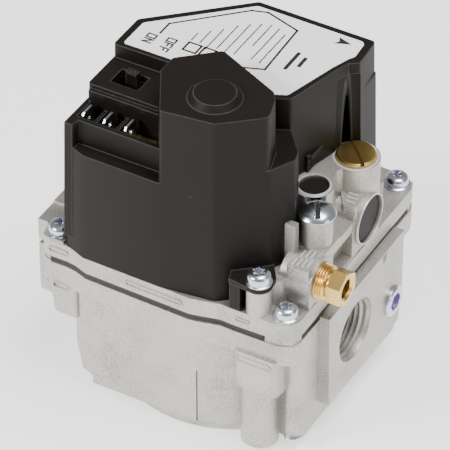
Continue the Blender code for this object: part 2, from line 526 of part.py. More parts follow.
# ---------------------------------------------------------------- the two solenoids
def solenoid(tag, centre, r_out, top):
    cx, cy = centre
    paint(turned("core_tube_" + tag, centre, [(5.2, -3.3), (6.9, -3.3), (6.9, -2.2), (5.7, -2.2), (5.7, top), (5.2, top)],
                 n=20), "steel")
    paint(turned("pole_" + tag, centre, [(0, top + 6.0), (3.0, top + 6.0), (3.0, top + 0.3), (5.0, top + 0.3), (5.0, 22.0),
                                         (0, 22.0)], n=20), "steel")
    plunger = turned("plunger_" + tag, centre, [(2.9, 18.5), (4.9, 18.5), (4.9, -1.9), (0, -1.9), (0, 8.0), (2.9, 8.0)][:4]
                     + [(0, 8.0), (2.9, 8.0)], n=20)
    paint(plunger, "steel")
    paint(helix("plunger_spring_" + tag, centre, 2.1, 0.35, 8.1, 21.9, 5), "steel")
    paint(cylinder("plunger_seal_" + tag, centre, 4.0, -3.4, -2.0, n=20), "rubber")
    coil = turned("coil_" + tag, centre, [(6.0, 2.8), (r_out, 2.8), (r_out, 4.4), (r_out - 1.0, 4.4), (r_out - 1.0, top - 2.2),
                                          (r_out, top - 2.2), (r_out, top - 0.6), (6.0, top - 0.6)], n=20)
    paint(coil, "coil")
    side = cy + r_out + 0.6
    frame = box("frame_" + tag, (cx - 8.5, cy - 9.0, 0.3), (cx + 8.5, side + 1.6, 2.0))
    join(
        frame,
        box("t", (cx - 8.5, side, 0.3), (cx + 8.5, side + 1.6, top + 2.3)),
        box("t", (cx - 8.5, cy - 9.0, top + 0.6), (cx + 8.5, side + 1.6, top + 2.3)),
    )
    cut(frame, cylinder("t", centre, 6.0, -3.0, 5.0, n=20), cylinder("t", centre, 3.3, top - 3.0, top + 6.0, n=20))
    paint(frame, "zinc")
    paint(turned("clip_" + tag, centre, [(3.2, top + 2.5), (5.6, top + 2.5), (5.6, top + 3.3), (3.2, top + 3.3)], n=20), "zinc")


solenoid("a", COIL_A, 11.5, 31.0)
solenoid("b", COIL_B, 10.5, 31.0)

# ---------------------------------------------------------------- main valve
px, py = PAN_C
seat_ring = turned("seat_ring", PAN_C, [(6.4, -33.2), (8.6, -33.2), (8.9, -33.6), (8.9, -38.4), (6.4, -38.4)], n=20)
paint(seat_ring, "brass")
paint(turned("valve_disc", PAN_C, [(0, -29.6), (8.2, -29.6), (8.2, -33.1), (0, -33.1)], n=20), "rubber")
plate = turned("diaphragm_plate", PAN_C, [(0, -33.2), (2.4, -33.2), (2.4, -48.9), (20.0, -48.9), (21.0, -49.4), (21.0, -51.4),
                                          (0, -51.4)], n=24)
paint(plate, "zinc")
paint(cylinder("main_diaphragm", PAN_C, 32.6, -53.4, -51.6, n=32), "rubber")
paint(helix("main_spring", PAN_C, 5.6, 0.5, -29.5, -6.8, 5), "steel")
pan = cylinder("bottom_pan", PAN_C, 40.0, PAN_BOTTOM, BODY_BOTTOM, n=48)
cut(pan, cylinder("t", PAN_C, 30.0, PAN_BOTTOM + 1.2, -50.0, n=32))
for x, y in PAN_SCREWS:
    cut(pan, turned("t", (x, y), [(0, -59.0), (3.4, -59.0), (3.4, -56.6), (1.9, -55.0), (1.9, -50.0), (0, -50.0)], n=20))
cut(pan, cylinder("t", (33.2, -38.7), 6.8, -60.0, -50.0))
paint(pan, "casting")
for k, (x, y) in enumerate(PAN_SCREWS):
    paint(turned("pan_screw_%d" % (k + 1), (x, y), [(0, -56.9), (3.1, -56.9), (3.1, -56.5), (1.5, -54.9), (1.5, -45.0),
                                                    (0, -45.0)], n=16), "zinc")

# ---------------------------------------------------------------- regulator
adjuster = turned("regulator_adjuster", TOWER, [(0, 22.0), (4.2, 22.0), (4.6, 21.6), (4.6, 17.4), (0, 17.4)], n=20)
paint(cut(adjuster, box("t", (TOWER[0] - 0.6, TOWER[1] - 8.0, 20.8), (TOWER[0] + 0.6, TOWER[1] + 8.0, 24.0))), "brass")
paint(turned("regulator_spring_cup", TOWER, [(0, 17.3), (4.6, 17.3), (4.6, 15.9), (0, 15.9)], n=20), "zinc")
paint(helix("regulator_spring", TOWER, 3.5, 0.45, 3.2, 15.8, 4), "steel")
paint(turned("regulator_poppet", TOWER, [(0, 3.1), (4.4, 3.1), (4.4, 1.7), (0, 1.7)], n=20), "zinc")
paint(cylinder("regulator_diaphragm", TOWER, 6.0, 0.15, 0.9, n=20), "rubber")
paint(turned("regulator_ring", TOWER, [(3.2, -6.4), (6.0, -6.4), (6.0, 0.1), (3.2, 0.1)], n=20), "brass")
screen = turned("inlet_screen", (PORT_Y, PORT_Z), [(8.0, -29.0), (9.2, -29.0), (9.2, -37.5), (8.0, -37.5)], "x", 20)
paint(screen, "steel")

for obj in bpy.data.objects:
    for polygon in obj.data.polygons:
        polygon.use_smooth = False
    obj.data.update()
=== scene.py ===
"""Gas valve: the finished look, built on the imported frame."""

import json
import math

import bmesh
import bpy
from mathutils import Matrix, Vector

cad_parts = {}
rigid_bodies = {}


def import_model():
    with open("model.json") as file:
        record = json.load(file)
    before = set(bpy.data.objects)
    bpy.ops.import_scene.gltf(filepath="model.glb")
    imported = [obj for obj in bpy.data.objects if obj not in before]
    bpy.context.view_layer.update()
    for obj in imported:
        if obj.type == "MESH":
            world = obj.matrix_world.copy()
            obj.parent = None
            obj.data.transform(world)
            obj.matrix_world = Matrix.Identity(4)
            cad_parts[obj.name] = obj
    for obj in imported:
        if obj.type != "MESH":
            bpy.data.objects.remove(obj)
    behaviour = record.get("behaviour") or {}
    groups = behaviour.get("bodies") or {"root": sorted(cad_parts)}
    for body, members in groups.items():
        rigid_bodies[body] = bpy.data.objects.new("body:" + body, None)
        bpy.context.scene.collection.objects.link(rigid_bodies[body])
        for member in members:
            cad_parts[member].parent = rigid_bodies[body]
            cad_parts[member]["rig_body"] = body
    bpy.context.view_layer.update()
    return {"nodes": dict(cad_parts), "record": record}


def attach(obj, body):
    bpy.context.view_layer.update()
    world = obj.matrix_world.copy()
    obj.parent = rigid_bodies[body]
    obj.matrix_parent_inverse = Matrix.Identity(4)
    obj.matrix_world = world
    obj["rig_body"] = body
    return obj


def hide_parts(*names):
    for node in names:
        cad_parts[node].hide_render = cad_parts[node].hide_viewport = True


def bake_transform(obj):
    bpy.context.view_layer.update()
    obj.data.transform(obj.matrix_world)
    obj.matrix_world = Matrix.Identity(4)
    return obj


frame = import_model()


# Driving dimensions, in millimetres, measured from the flange centre at its top face
MM = 0.001
SHIFT = Vector((-2.4, 0.13, 57.0))
FLANGE_T = 6.5
GASKET_T = 1.7
PORT_Y = -6.4
PORT_Z = -26.5
PORT_R = 10.6
PORT_FACE = 50.9
TAP = (19.5, -33.2)
BODY_BOTTOM = -53.5
PAN_C = (4.0, -4.5)
TOWER = (40.0, 11.7)
BOSS = (35.3, -8.2)
CHROME = (41.6, -17.4)
TOP_Z = 29.5
CHROME_Z = 27.2
TERMINALS_X = (-32.5, -24.8, -17.0)
BUTTON = (11.6, -30.2)
# The lower body's joint face, set a little below the gasket so that the joint shows as a dark line
BODY_TOP = -9.1
EAR = (33.2, -40.2)
PILOT_Y = -25.2
PILOT_Z = 7.5
VENT_Y = 6.4
VENT_Z = 10.4
COIL_A = (-17.0, -7.0)
COIL_B = (10.0, 13.0)
COVER_WALL = 2.0
TAPER = 0.00055
TAPER_Y = -5.0
SLOT_TURN = 29.6
CAP_SLOT_TURN = 45.6
VIEW_TURN = 29.6
VIEW_HEIGHT = 39.7
VIEW_DISTANCE = 1.1475
CORNERS = ((42.1, -38.2), (42.1, 38.2), (-42.1, 38.2), (-42.1, -38.2))


# ---------------------------------------------------------------- materials
def look(name, colour, metal, rough, grain, bump, spread=0.12, edge=0.0003, rough_spread=0.1, fleck=0.0,
         edge_highlight=0.5, shine=0.5):
    """A mottled finish over a fine grain, with softened edges and a painted highlight that lightens the
    colour along the edges. The grain is in millimetres.
    """
    material = bpy.data.materials.new(name)
    material.use_nodes = True
    nodes = material.node_tree.nodes
    links = material.node_tree.links
    shader = nodes["Principled BSDF"]
    shader.inputs["Metallic"].default_value = metal
    shader.inputs["Specular IOR Level"].default_value = shine
    place = nodes.new("ShaderNodeTexCoord")
    fine = nodes.new("ShaderNodeTexNoise")
    fine.inputs["Scale"].default_value = 1000.0 / grain
    fine.inputs["Detail"].default_value = 4.0
    fine.inputs["Roughness"].default_value = 0.65
    broad = nodes.new("ShaderNodeTexNoise")
    broad.inputs["Scale"].default_value = 70.0
    broad.inputs["Detail"].default_value = 5.0
    for noise in (fine, broad):
        links.new(place.outputs["Object"], noise.inputs["Vector"])
    both = nodes.new("ShaderNodeMath")
    both.operation = "MULTIPLY_ADD"
    links.new(fine.outputs["Fac"], both.inputs[0])
    both.inputs[1].default_value = 0.6 + fleck
    half = nodes.new("ShaderNodeMath")
    half.operation = "MULTIPLY"
    links.new(broad.outputs["Fac"], half.inputs[0])
    half.inputs[1].default_value = 0.4
    links.new(half.outputs[0], both.inputs[2])
    ramp = nodes.new("ShaderNodeValToRGB")
    low = [c * (1.0 - spread) for c in colour]
    high = [min(c * (1.0 + spread), 1.0) for c in colour]
    ramp.color_ramp.elements[0].position = 0.35
    ramp.color_ramp.elements[0].color = (*low, 1.0)
    ramp.color_ramp.elements[1].position = 0.68
    ramp.color_ramp.elements[1].color = (*high, 1.0)
    links.new(both.outputs[0], ramp.inputs["Fac"])
    gloss = nodes.new("ShaderNodeMapRange")
    gloss.inputs["To Min"].default_value = max(rough - rough_spread, 0.05)
    gloss.inputs["To Max"].default_value = min(rough + rough_spread, 1.0)
    links.new(both.outputs[0], gloss.inputs["Value"])
    links.new(gloss.outputs["Result"], shader.inputs["Roughness"])
    soft = nodes.new("ShaderNodeBevel")
    soft.samples = 4
    soft.inputs["Radius"].default_value = edge
    true_face = nodes.new("ShaderNodeNewGeometry")
    corner = nodes.new("ShaderNodeVectorMath")
    corner.operation = "DOT_PRODUCT"
    links.new(soft.outputs["Normal"], corner.inputs[0])
    links.new(true_face.outputs["Normal"], corner.inputs[1])
    # Painted highlight: the colour is lightened where the bevel normal leans away from the face normal, that
    # is along every edge.
    edge_highlight_mask = nodes.new("ShaderNodeMapRange")
    edge_highlight_mask.inputs["From Min"].default_value = 0.985
    edge_highlight_mask.inputs["From Max"].default_value = 0.88
    edge_highlight_mask.inputs["To Max"].default_value = edge_highlight
    links.new(corner.outputs["Value"], edge_highlight_mask.inputs["Value"])
    edge_highlight_mix = nodes.new("ShaderNodeMix")
    edge_highlight_mix.data_type = "RGBA"
    for socket in edge_highlight_mix.inputs:
        if socket.type == "RGBA" and socket.name == "B":
            socket.default_value = (*[min(1.0, c * 1.3 + 0.06) for c in colour], 1.0)
        if socket.type == "RGBA" and socket.name == "A":
            links.new(ramp.outputs["Color"], socket)
        if socket.type == "VALUE" and socket.name == "Factor":
            links.new(edge_highlight_mask.outputs["Result"], socket)
    for socket in edge_highlight_mix.outputs:
        if socket.type == "RGBA":
            links.new(socket, shader.inputs["Base Color"])
    relief = nodes.new("ShaderNodeBump")
    relief.inputs["Strength"].default_value = bump
    relief.inputs["Distance"].default_value = 0.0001
    links.new(fine.outputs["Fac"], relief.inputs["Height"])
    links.new(soft.outputs["Normal"], relief.inputs["Normal"])
    links.new(relief.outputs["Normal"], shader.inputs["Normal"])
    return material


# edge_highlight sets how strongly each material's edges are lightened as a painted highlight.
LOOKS = {
    "casting": look("cast_aluminium", (0.335, 0.32, 0.295), metal=0.70, rough=0.38, grain=0.50, bump=1.1,
                    spread=0.60, edge=0.0004, rough_spread=0.18, fleck=0.28, edge_highlight=1.3),
    "black": look("black_plastic", (0.0100, 0.0082, 0.0068), metal=0.0, rough=0.48, grain=0.30, bump=0.12,
                  spread=0.15, edge=0.0006, rough_spread=0.06, fleck=0.0, edge_highlight=1.6, shine=0.13),
    "rubber": look("black_rubber", (0.030, 0.029, 0.028), metal=0.0, rough=0.75, grain=0.5, bump=0.3,
                   spread=0.2, edge=0.0002),
    "brass": look("turned_brass", (0.78, 0.53, 0.17), metal=1.0, rough=0.30, grain=0.35, bump=0.10,
                  spread=0.10, edge=0.00025, rough_spread=0.08),
    "zinc": look("zinc_plate", (0.64, 0.67, 0.74), metal=1.0, rough=0.24, grain=0.5, bump=0.06, spread=0.10,
                 edge=0.0003, rough_spread=0.08),
    "steel": look("stainless", (0.60, 0.60, 0.60), metal=1.0, rough=0.28, grain=0.4, bump=0.06, spread=0.08,
                  edge=0.0002, rough_spread=0.06),
    "label": look("printed_film", (0.93, 0.93, 0.92), metal=0.0, rough=0.38, grain=1.5, bump=0.03,
                  spread=0.02, edge=0.0001, rough_spread=0.04),
    "ink": look("printing_ink", (0.015, 0.015, 0.017), metal=0.0, rough=0.42, grain=0.3, bump=0.05,
                spread=0.2, edge=0.00005, rough_spread=0.04),
    "coil": look("varnished_winding", (0.34, 0.11, 0.04), metal=0.1, rough=0.35, grain=0.3, bump=0.3,
                 spread=0.25, edge=0.0002),
    "board": look("phenolic_board", (0.22, 0.14, 0.06), metal=0.0, rough=0.50, grain=0.4, bump=0.15,
                  spread=0.15, edge=0.0002),
    "plug": look("dark_plug", (0.011, 0.0095, 0.0085), metal=0.0, rough=0.55, grain=0.6, bump=0.15,
                 spread=0.2, edge=0.0004, rough_spread=0.08, fleck=0.0, edge_highlight=0.3, shine=0.18),
    "violet": look("violet_sealant", (0.22, 0.05, 0.42), metal=0.3, rough=0.22, grain=0.5, bump=0.2,
                   spread=0.3, edge=0.0002),
    "green": look("paint_mark", (0.02, 0.20, 0.09), metal=0.0, rough=0.40, grain=0.6, bump=0.2, spread=0.25,
                  edge=0.0001),
    "blank": look("raised_metal", (0.70, 0.69, 0.67), metal=0.45, rough=0.42, grain=0.5, bump=0.4,
                  spread=0.15, edge=0.0002),
}
for node in frame["nodes"].values():
    for entry in frame["record"]["subparts"]:
        if entry["node"] == node.name:
            for material_slot in node.material_slots:
                material_slot.material = LOOKS[entry["material_slot"]]


def smooth(obj, angle=32.0):
    """Shades curves smoothly and keeps every corner above the angle sharp."""
    bm = bmesh.new()
    bm.from_mesh(obj.data)
    bmesh.ops.remove_doubles(bm, verts=bm.verts, dist=1e-6)
    for face in bm.faces:
        face.smooth = True
    for edge in bm.edges:
        edge.smooth = len(edge.link_faces) == 2 and edge.calc_face_angle(0.0) < math.radians(angle)
    bm.to_mesh(obj.data)
    bm.free()


def made(name, verts, faces):
    """A mesh piece from points in millimetres. The name "t" is for a tool that a cut or a join uses up."""
    if name != "t":
        name = "skin_" + name
    mesh = bpy.data.meshes.new(name)
    mesh.from_pydata([(Vector(v) + SHIFT) * MM for v in verts], [], faces)
    mesh.validate()
    bm = bmesh.new()
    bm.from_mesh(mesh)
    bmesh.ops.recalc_face_normals(bm, faces=bm.faces)
    bm.to_mesh(mesh)
    bm.free()
    obj = bpy.data.objects.new(name, mesh)
    bpy.context.scene.collection.objects.link(obj)
    return obj


def prism(name, outline, low, high, axis="z"):
    """A straight block: the outline lies across the axis, in the order of the other two axes."""
    n = len(outline)
    verts = []
    for level in (low, high):
        for a, b in outline:
            if axis == "z":
                verts.append((a, b, level))
            elif axis == "x":
                verts.append((level, a, b))
            else:
                verts.append((a, level, b))
    faces = [tuple(range(n)), tuple(range(n, 2 * n))]
    faces += [(i, (i + 1) % n, n + (i + 1) % n, n + i) for i in range(n)]
    return made(name, verts, faces)


def box(name, low, high):
    outline = [(low[0], low[1]), (high[0], low[1]), (high[0], high[1]), (low[0], high[1])]
    return prism(name, outline, low[2], high[2])


def circle(cx, cy, r, n=60, start=0.0):
    """A round outline of n points."""
    steps = [start + 2 * math.pi * i / n for i in range(n)]
    return [(cx + r * math.cos(t), cy + r * math.sin(t)) for t in steps]


def cylinder(name, centre, r, low, high, axis="z", n=60):
    return prism(name, circle(centre[0], centre[1], r, n), low, high, axis)


def turned(name, centre, profile, axis="z", n=60):
    """A round piece from (radius, height) points. The profile closes onto the axis or as a ring."""
    cx, cy = centre
    ring = profile[0][0] > 0 or profile[-1][0] > 0
    verts = []
    rows = []
    for r, h in profile:
        row = []
        count = 1 if r == 0 else n
        for i in range(count):
            t = 2 * math.pi * i / n
            a = cx + r * math.cos(t)
            b = cy + r * math.sin(t)
            row.append(len(verts))
            verts.append((a, b, h) if axis == "z" else (h, a, b))
        rows.append(row)
    faces = []
    pairs = list(zip(rows, rows[1:]))
    if ring:
        pairs.append((rows[-1], rows[0]))
    for first, second in pairs:
        for i in range(n):
            j = (i + 1) % n
            if len(first) == 1 and len(second) == 1:
                continue
            if len(first) == 1:
                faces.append((first[0], second[i], second[j]))
            elif len(second) == 1:
                faces.append((first[i], second[0], first[j]))
            else:
                faces.append((first[i], second[i], second[j], first[j]))
    return made(name, verts, faces)


def helix(name, centre, r, wire, low, high, turns, per_turn, sides):
    """A round-wire coil. Its two ends lie just inside the low and high levels."""
    steps = turns * per_turn
    verts = []
    for i in range(steps + 1):
        t = 2 * math.pi * i / per_turn
        z = low + wire + (high - low - 2 * wire) * i / steps
        out = Vector((math.cos(t), math.sin(t), 0.0))
        centre_line = Vector((centre[0], centre[1], z)) + out * r
        for k in range(sides):
            s = 2 * math.pi * k / sides
            verts.append(centre_line + out * (wire * math.cos(s)) + Vector((0, 0, wire * math.sin(s))))
    faces = [tuple(range(sides)), tuple(range(steps * sides, (steps + 1) * sides))]
    for i in range(steps):
        for k in range(sides):
            a = i * sides + k
            b = i * sides + (k + 1) % sides
            faces.append((a, b, b + sides, a + sides))
    return made(name, verts, faces)


def combine(target, operation, tools):
    """Applies a Boolean with each tool in turn, and removes the tools."""
    for tool in tools:
        modifier = target.modifiers.new("step", "BOOLEAN")
        modifier.operation = operation
        modifier.solver = "EXACT"
        modifier.object = tool
        bpy.context.view_layer.update()
        graph = bpy.context.evaluated_depsgraph_get()
        mesh = bpy.data.meshes.new_from_object(target.evaluated_get(graph))
        target.modifiers.clear()
        target.data = mesh
        bpy.data.objects.remove(tool, do_unlink=True)
    return target


def cut(target, *tools):
    return combine(target, "DIFFERENCE", tools)


def join(target, *tools):
    return combine(target, "UNION", tools)


def taper(obj):
    """Draws the walls in towards the top, as a moulded cover needs."""
    for vertex in obj.data.vertices:
        z = vertex.co.z / MM - SHIFT.z
        s = 1.0 - TAPER * max(z, 0.0)
        x = vertex.co.x / MM - SHIFT.x
        y = vertex.co.y / MM - SHIFT.y
        vertex.co.x = (x * s + SHIFT.x) * MM
        vertex.co.y = ((y - TAPER_Y) * s + TAPER_Y + SHIFT.y) * MM
    return obj


def untapered(points, z):
    """The bottom outline that taper() turns into these points at height z."""
    s = 1.0 - TAPER * z
    return [(x / s, (y - TAPER_Y) / s + TAPER_Y) for x, y in points]


def inset(points, distance):
    """The outline moved inwards. It has to run anticlockwise."""
    area = sum(a[0] * b[1] - b[0] * a[1] for a, b in zip(points, points[1:] + points[:1]))
    if area < 0:
        points = points[::-1]
    moved = []
    n = len(points)
    for i in range(n):
        before = Vector(points[i - 1])
        here = Vector(points[i])
        after = Vector(points[(i + 1) % n])
        d1 = (here - before).normalized()
        d2 = (after - here).normalized()
        n1 = Vector((-d1.y, d1.x))
        n2 = Vector((-d2.y, d2.x))
        bisector = (n1 + n2).normalized()
        moved.append(tuple(here + bisector * (distance / max(bisector.dot(n1), 0.35))))
    return moved


def rounded(points, radii, steps=8):
    """Rounds each corner by its own radius."""
    out = []
    n = len(points)
    for i in range(n):
        r = radii[i] if isinstance(radii, (list, tuple)) else radii
        here = Vector(points[i])
        if r <= 0:
            out.append(tuple(here))
            continue
        a = (Vector(points[i - 1]) - here)
        b = (Vector(points[(i + 1) % n]) - here)
        half = a.angle(b) / 2
        reach = min(r / math.tan(half), a.length * 0.49, b.length * 0.49)
        r = reach * math.tan(half)
        a.normalize()
        b.normalize()
        middle = here + (a + b).normalized() * (r / math.sin(half))
        first = here + a * reach - middle
        last = here + b * reach - middle
        sweep = first.angle_signed(last)
        for k in range(steps + 1):
            t = -sweep * k / steps
            c = math.cos(t)
            s = math.sin(t)
            out.append((middle.x + first.x * c - first.y * s, middle.y + first.x * s + first.y * c))
    return out


skins = {}


def paint(obj, slot):
    """Keeps the piece in place of the CAD node of the same name."""
    node = obj.name[5:]
    obj.data.name = obj.name
    obj.data.materials.clear()
    obj.data.materials.append(LOOKS[slot])
    for polygon in obj.data.polygons:
        polygon.material_index = 0
    smooth(obj)
    skins[node] = obj
    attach(obj, frame["nodes"][node]["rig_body"])
    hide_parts(node)
    return obj


# ---------------------------------------------------------------- the flange outline, front and mirrored back
FRONT = [
    (-47.5, -38.6), (-46.4, -41.8), (-42.5, -43.6), (-36.8, -43.5), (-33.0, -44.0), (-28.3, -45.6),
    (11.0, -46.3), (14.7, -45.5), (21.3, -43.8), (26.0, -44.0), (42.0, -43.6), (46.4, -41.4), (47.5, -38.0),
]
BACK = [(47.5, 38.0), (46.4, 41.4), (42.0, 43.6), (26.0, 44.0), (21.3, 43.8), (14.7, 45.5), (11.0, 46.3),
        (-28.3, 45.6), (-33.0, 44.0), (-36.8, 43.5), (-42.5, 43.6), (-46.4, 41.8), (-47.5, 38.6)]
FLANGE = FRONT + BACK

# ---------------------------------------------------------------- lower body
lower_body = prism("lower_body", FLANGE, -17.5, BODY_TOP)
PORT_FACE_OUTLINE = [(-25.0, -8.2), (27.0, -8.2), (27.0, -33.0), (21.5, -43.0), (21.5, -47.5), (-24.0, -46.0)]
INLET_OUTLINE = [(-38.0, -8.2), (27.0, -8.2), (27.0, -33.0), (21.5, -43.0), (21.5, -47.5), (-26.6, -46.3),
                 (-30.4, -41.7), (-30.9, -35.7), (-38.0, -27.7)]
SKIRT = [(-26.6, -45.9), (13.0, -45.4)]
for step in range(6):
    angle = math.radians(-76.0 + step * 8.3)
    SKIRT.append((3.0 + 45.5 * math.cos(angle), -0.5 + 45.5 * math.sin(angle)))
SKIRT += [(36.0, -36.0), (44.0, -37.5), (47.0, -35.0), (47.0, 33.5), (40.0, 37.0), (13.0, 45.2),
          (-26.6, 45.2),
          (-27.6, 43.0), (-33.5, 42.0), (-42.5, 30.0), (-42.5, -30.0), (-33.5, -41.0), (-27.6, -43.0)]
LAND_RIGHT = [(37.2, -36.9), (37.2, -43.3), (41.9, -43.2), (46.1, -41.2), (47.1, -37.9), (47.1, -36.9)]
LAND_LEFT = [(-43.4, -36.9), (-47.1, -36.9), (-47.1, -38.6), (-46.1, -41.5), (-43.4, -42.8)]
join(
    lower_body,
    prism("t", SKIRT, BODY_BOTTOM, -10.0),
    prism("t", rounded([(-42.8, -43.3), (-33.5, -43.6), (-33.5, -20.0), (-42.8, -20.0)], 1.5), -30.0, -10.0),
    prism("t", rounded([(-33.6, -42.9), (-27.0, -43.2), (-26.0, -20.0), (-33.6, -20.0)], 1.5), -48.5, -10.0),
    prism("t", [(-47.2, -38.6), (-44.0, -43.0), (-42.0, -43.2), (-42.0, -30.0), (-47.2, -30.0)], -22.5,
          -10.0),
    prism("t", rounded([(26.5, -44.9), (42.0, -44.9), (44.0, -30.0), (26.5, -30.0)], 2.0), -31.0, -16.0),
    cylinder("t", (33.2, -38.7), 6.4, -55.5, -20.0),
    prism("t", rounded([(41.0, -39.0), (47.3, -39.0), (47.3, -20.0), (41.0, -20.0)], 3.0), -51.5, -16.0),
    prism("t", PORT_FACE_OUTLINE, 30.0, PORT_FACE, "x"),
    prism("t", INLET_OUTLINE, -PORT_FACE, -30.0, "x"),
)
for land in (LAND_RIGHT, LAND_LEFT, [(x, -y) for x, y in LAND_RIGHT], [(-x, -y) for x, y in LAND_RIGHT]):
    join(lower_body, prism("t", land, -10.0, -FLANGE_T))
cut(
    lower_body,
    turned("t", (PORT_Y, PORT_Z), [(0, 55.0), (12.2, 55.0), (11.1, PORT_FACE - 0.9),
                                   (PORT_R, PORT_FACE - 1.6),
                                   (PORT_R - 0.6, 32.0), (0, 32.0)], "x"),
    turned("t", (PORT_Y, PORT_Z), [(0, -55.0), (12.2, -55.0), (11.1, -PORT_FACE + 0.9),
                                   (PORT_R, -PORT_FACE + 1.6),
                                   (PORT_R - 0.6, -28.0), (0, -28.0)], "x"),
    box("t", (-31.0, -24.0, -34.0), (20.0, 16.0, 5.0)),
    cylinder("t", (PAN_C[0], PAN_C[1]), 28.0, -60.0, -38.0, n=84),
    cylinder("t", PAN_C, 33.2, -60.0, -51.5, n=96),
    box("t", (24.5, -17.0, -50.0), (34.5, 6.0, -15.0)),
    cylinder("t", PAN_C, 9.2, -45.0, -30.0),
    turned("t", TAP, [(0, 60.0), (4.2, 60.0), (4.2, 42.0), (0, 42.0)], "x", 60),
    turned("t", TAP, [(0, -60.0), (4.2, -60.0), (4.2, -42.0), (0, -42.0)], "x", 60),
)
for x, y in CORNERS:
    cut(lower_body, cylinder("t", (x, y), 2.3, -19.0, 5.0, n=60))
PAN_SCREWS = [(PAN_C[0] + 35.6 * math.cos(math.radians(a)), PAN_C[1] + 35.6 * math.sin(math.radians(a)))
              for a in (45.0, 135.0, 225.0, 315.0)]
for x, y in PAN_SCREWS:
    cut(lower_body, cylinder("t", (x, y), 1.8, -70.0, -44.0, n=48))
paint(lower_body, "casting")

# ---------------------------------------------------------------- gasket between the castings
gasket_outline = [
    (-47.1, -36.5), (-43.2, -36.5), (-43.2, -42.9), (-36.8, -43.0), (-33.0, -43.5), (-28.3, -45.1),
                  (11.0, -45.8),
    (14.7, -45.0), (21.3, -43.3), (26.0, -43.5), (36.8, -43.4), (36.8, -36.5), (47.1, -36.5), (47.1, 36.0),
    (36.8, 36.0), (36.8, 43.4), (26.0, 43.5), (21.3, 43.3), (14.7, 45.0), (11.0, 45.8), (-28.3, 45.1),
    (-33.0, 43.5), (-36.8, 43.0), (-36.8, 36.0), (-47.1, 36.0),
]
body_gasket = prism("body_gasket", gasket_outline, -FLANGE_T - GASKET_T, -FLANGE_T)
cut(
    body_gasket,
    box("t", (-31.0, -24.0, -12.0), (20.0, 16.0, 0.0)),
    *[cylinder("t", corner, 2.4, -12.0, 0.0, n=60) for corner in CORNERS],
)
paint(body_gasket, "rubber")

# ---------------------------------------------------------------- upper casting
upper_casting = prism("upper_casting", FLANGE, -FLANGE_T, 0.0)


def features(grow):
    """The raised parts of the casting. Grown a little, they cut the room for themselves out of the cover."""
    g = grow
    web = [(31.4 - g, -3.0), (33.0 - g, 15.0), (46.5 + g, 15.0), (47.0 + g, 8.0), (41.5 + g, -9.0),
           (30.0 - g, -11.5)]
    deck = [(34.5 - g, -22.6 - g), (47.2 + g, -22.6 - g), (47.2 + g, -12.0), (34.5 - g, -12.0)]
    block = [(35.0 - g, -14.0), (47.2 + g, -14.0), (47.2 + g, 14.0), (35.0 - g, 14.0)]
    lug = [(34.8 - g, -26.6 - g), (38.5 + g, -26.6 - g), (38.5 + g, -23.9 + g), (34.8 - g, -23.9 + g)]
    vent_pad = [(34.0 - g, -2.5 - g), (47.0 + g, -2.5 - g), (47.0 + g, 13.0 + g), (34.0 - g, 13.0 + g)]
    pilot_pad = [(38.6 - g, -32.4 - g), (46.6 + g, -32.4 - g), (46.6 + g, -20.2), (38.6 - g, -20.2)]
    return [
        cylinder("t", TOWER, 8.0 + g, -1.0, TOP_Z + g, n=84),
        cylinder("t", BOSS, 6.5 + g, -1.0, TOP_Z + g),
        prism("t", rounded([(28.9 - g, -9.6), (28.5 - g, -5.5), (29.8 - g, 0.2), (32.6 - g, 9.9),
                            (33.2 - g, 15.0),
                            (44.0 + g, 5.5), (39.6 + g, 4.2), (38.3 + g, 1.5), (39.4 + g, -2.5),
                            (40.8 + g, -5.5)],
                           [0, 0, 0, 0, 0, 0, 1.5, 1.5, 1.0, 0]), -1.0, TOP_Z - 0.01 + g),
        cylinder("t", CHROME, 5.2 + g, -1.0, CHROME_Z + g, n=60),
        prism("t", deck, -1.0, 16.0 + g),
        prism("t", block, -1.0, 15.2 + g),
        prism("t", lug, -1.0, 26.5 + g),
        prism("t", vent_pad, -1.0, 17.5 + g),
        cylinder("t", (VENT_Y, VENT_Z), 9.0 + g, 38.0, 48.3 + g, "x", n=72),
        cylinder("t", (PILOT_Y, PILOT_Z), 7.8 + g, 36.0 - g, 47.5 + g, "x", n=60),
        prism("t", rounded(pilot_pad, 0.8), 10.8 - g, 15.2 + g),
        prism("t", [(36.0 - g, -32.6 - g), (47.3 + g, -32.6 - g), (47.3 + g, -17.8 + g),
                    (36.0 - g, -17.8 + g)], -1.0, 7.5),
        cylinder("t", EAR, 4.1 + g, -1.0, 10.3 + g, n=60),
        prism("t", [(31.0, -38.0), (38.6, -34.8), (39.2, -28.0), (33.0, -24.0)] if not g else
              [(30.7, -38.3), (39.5, -35.3), (39.5, -27.7), (32.7, -23.7)], -1.0, 10.3 + g),
    ]


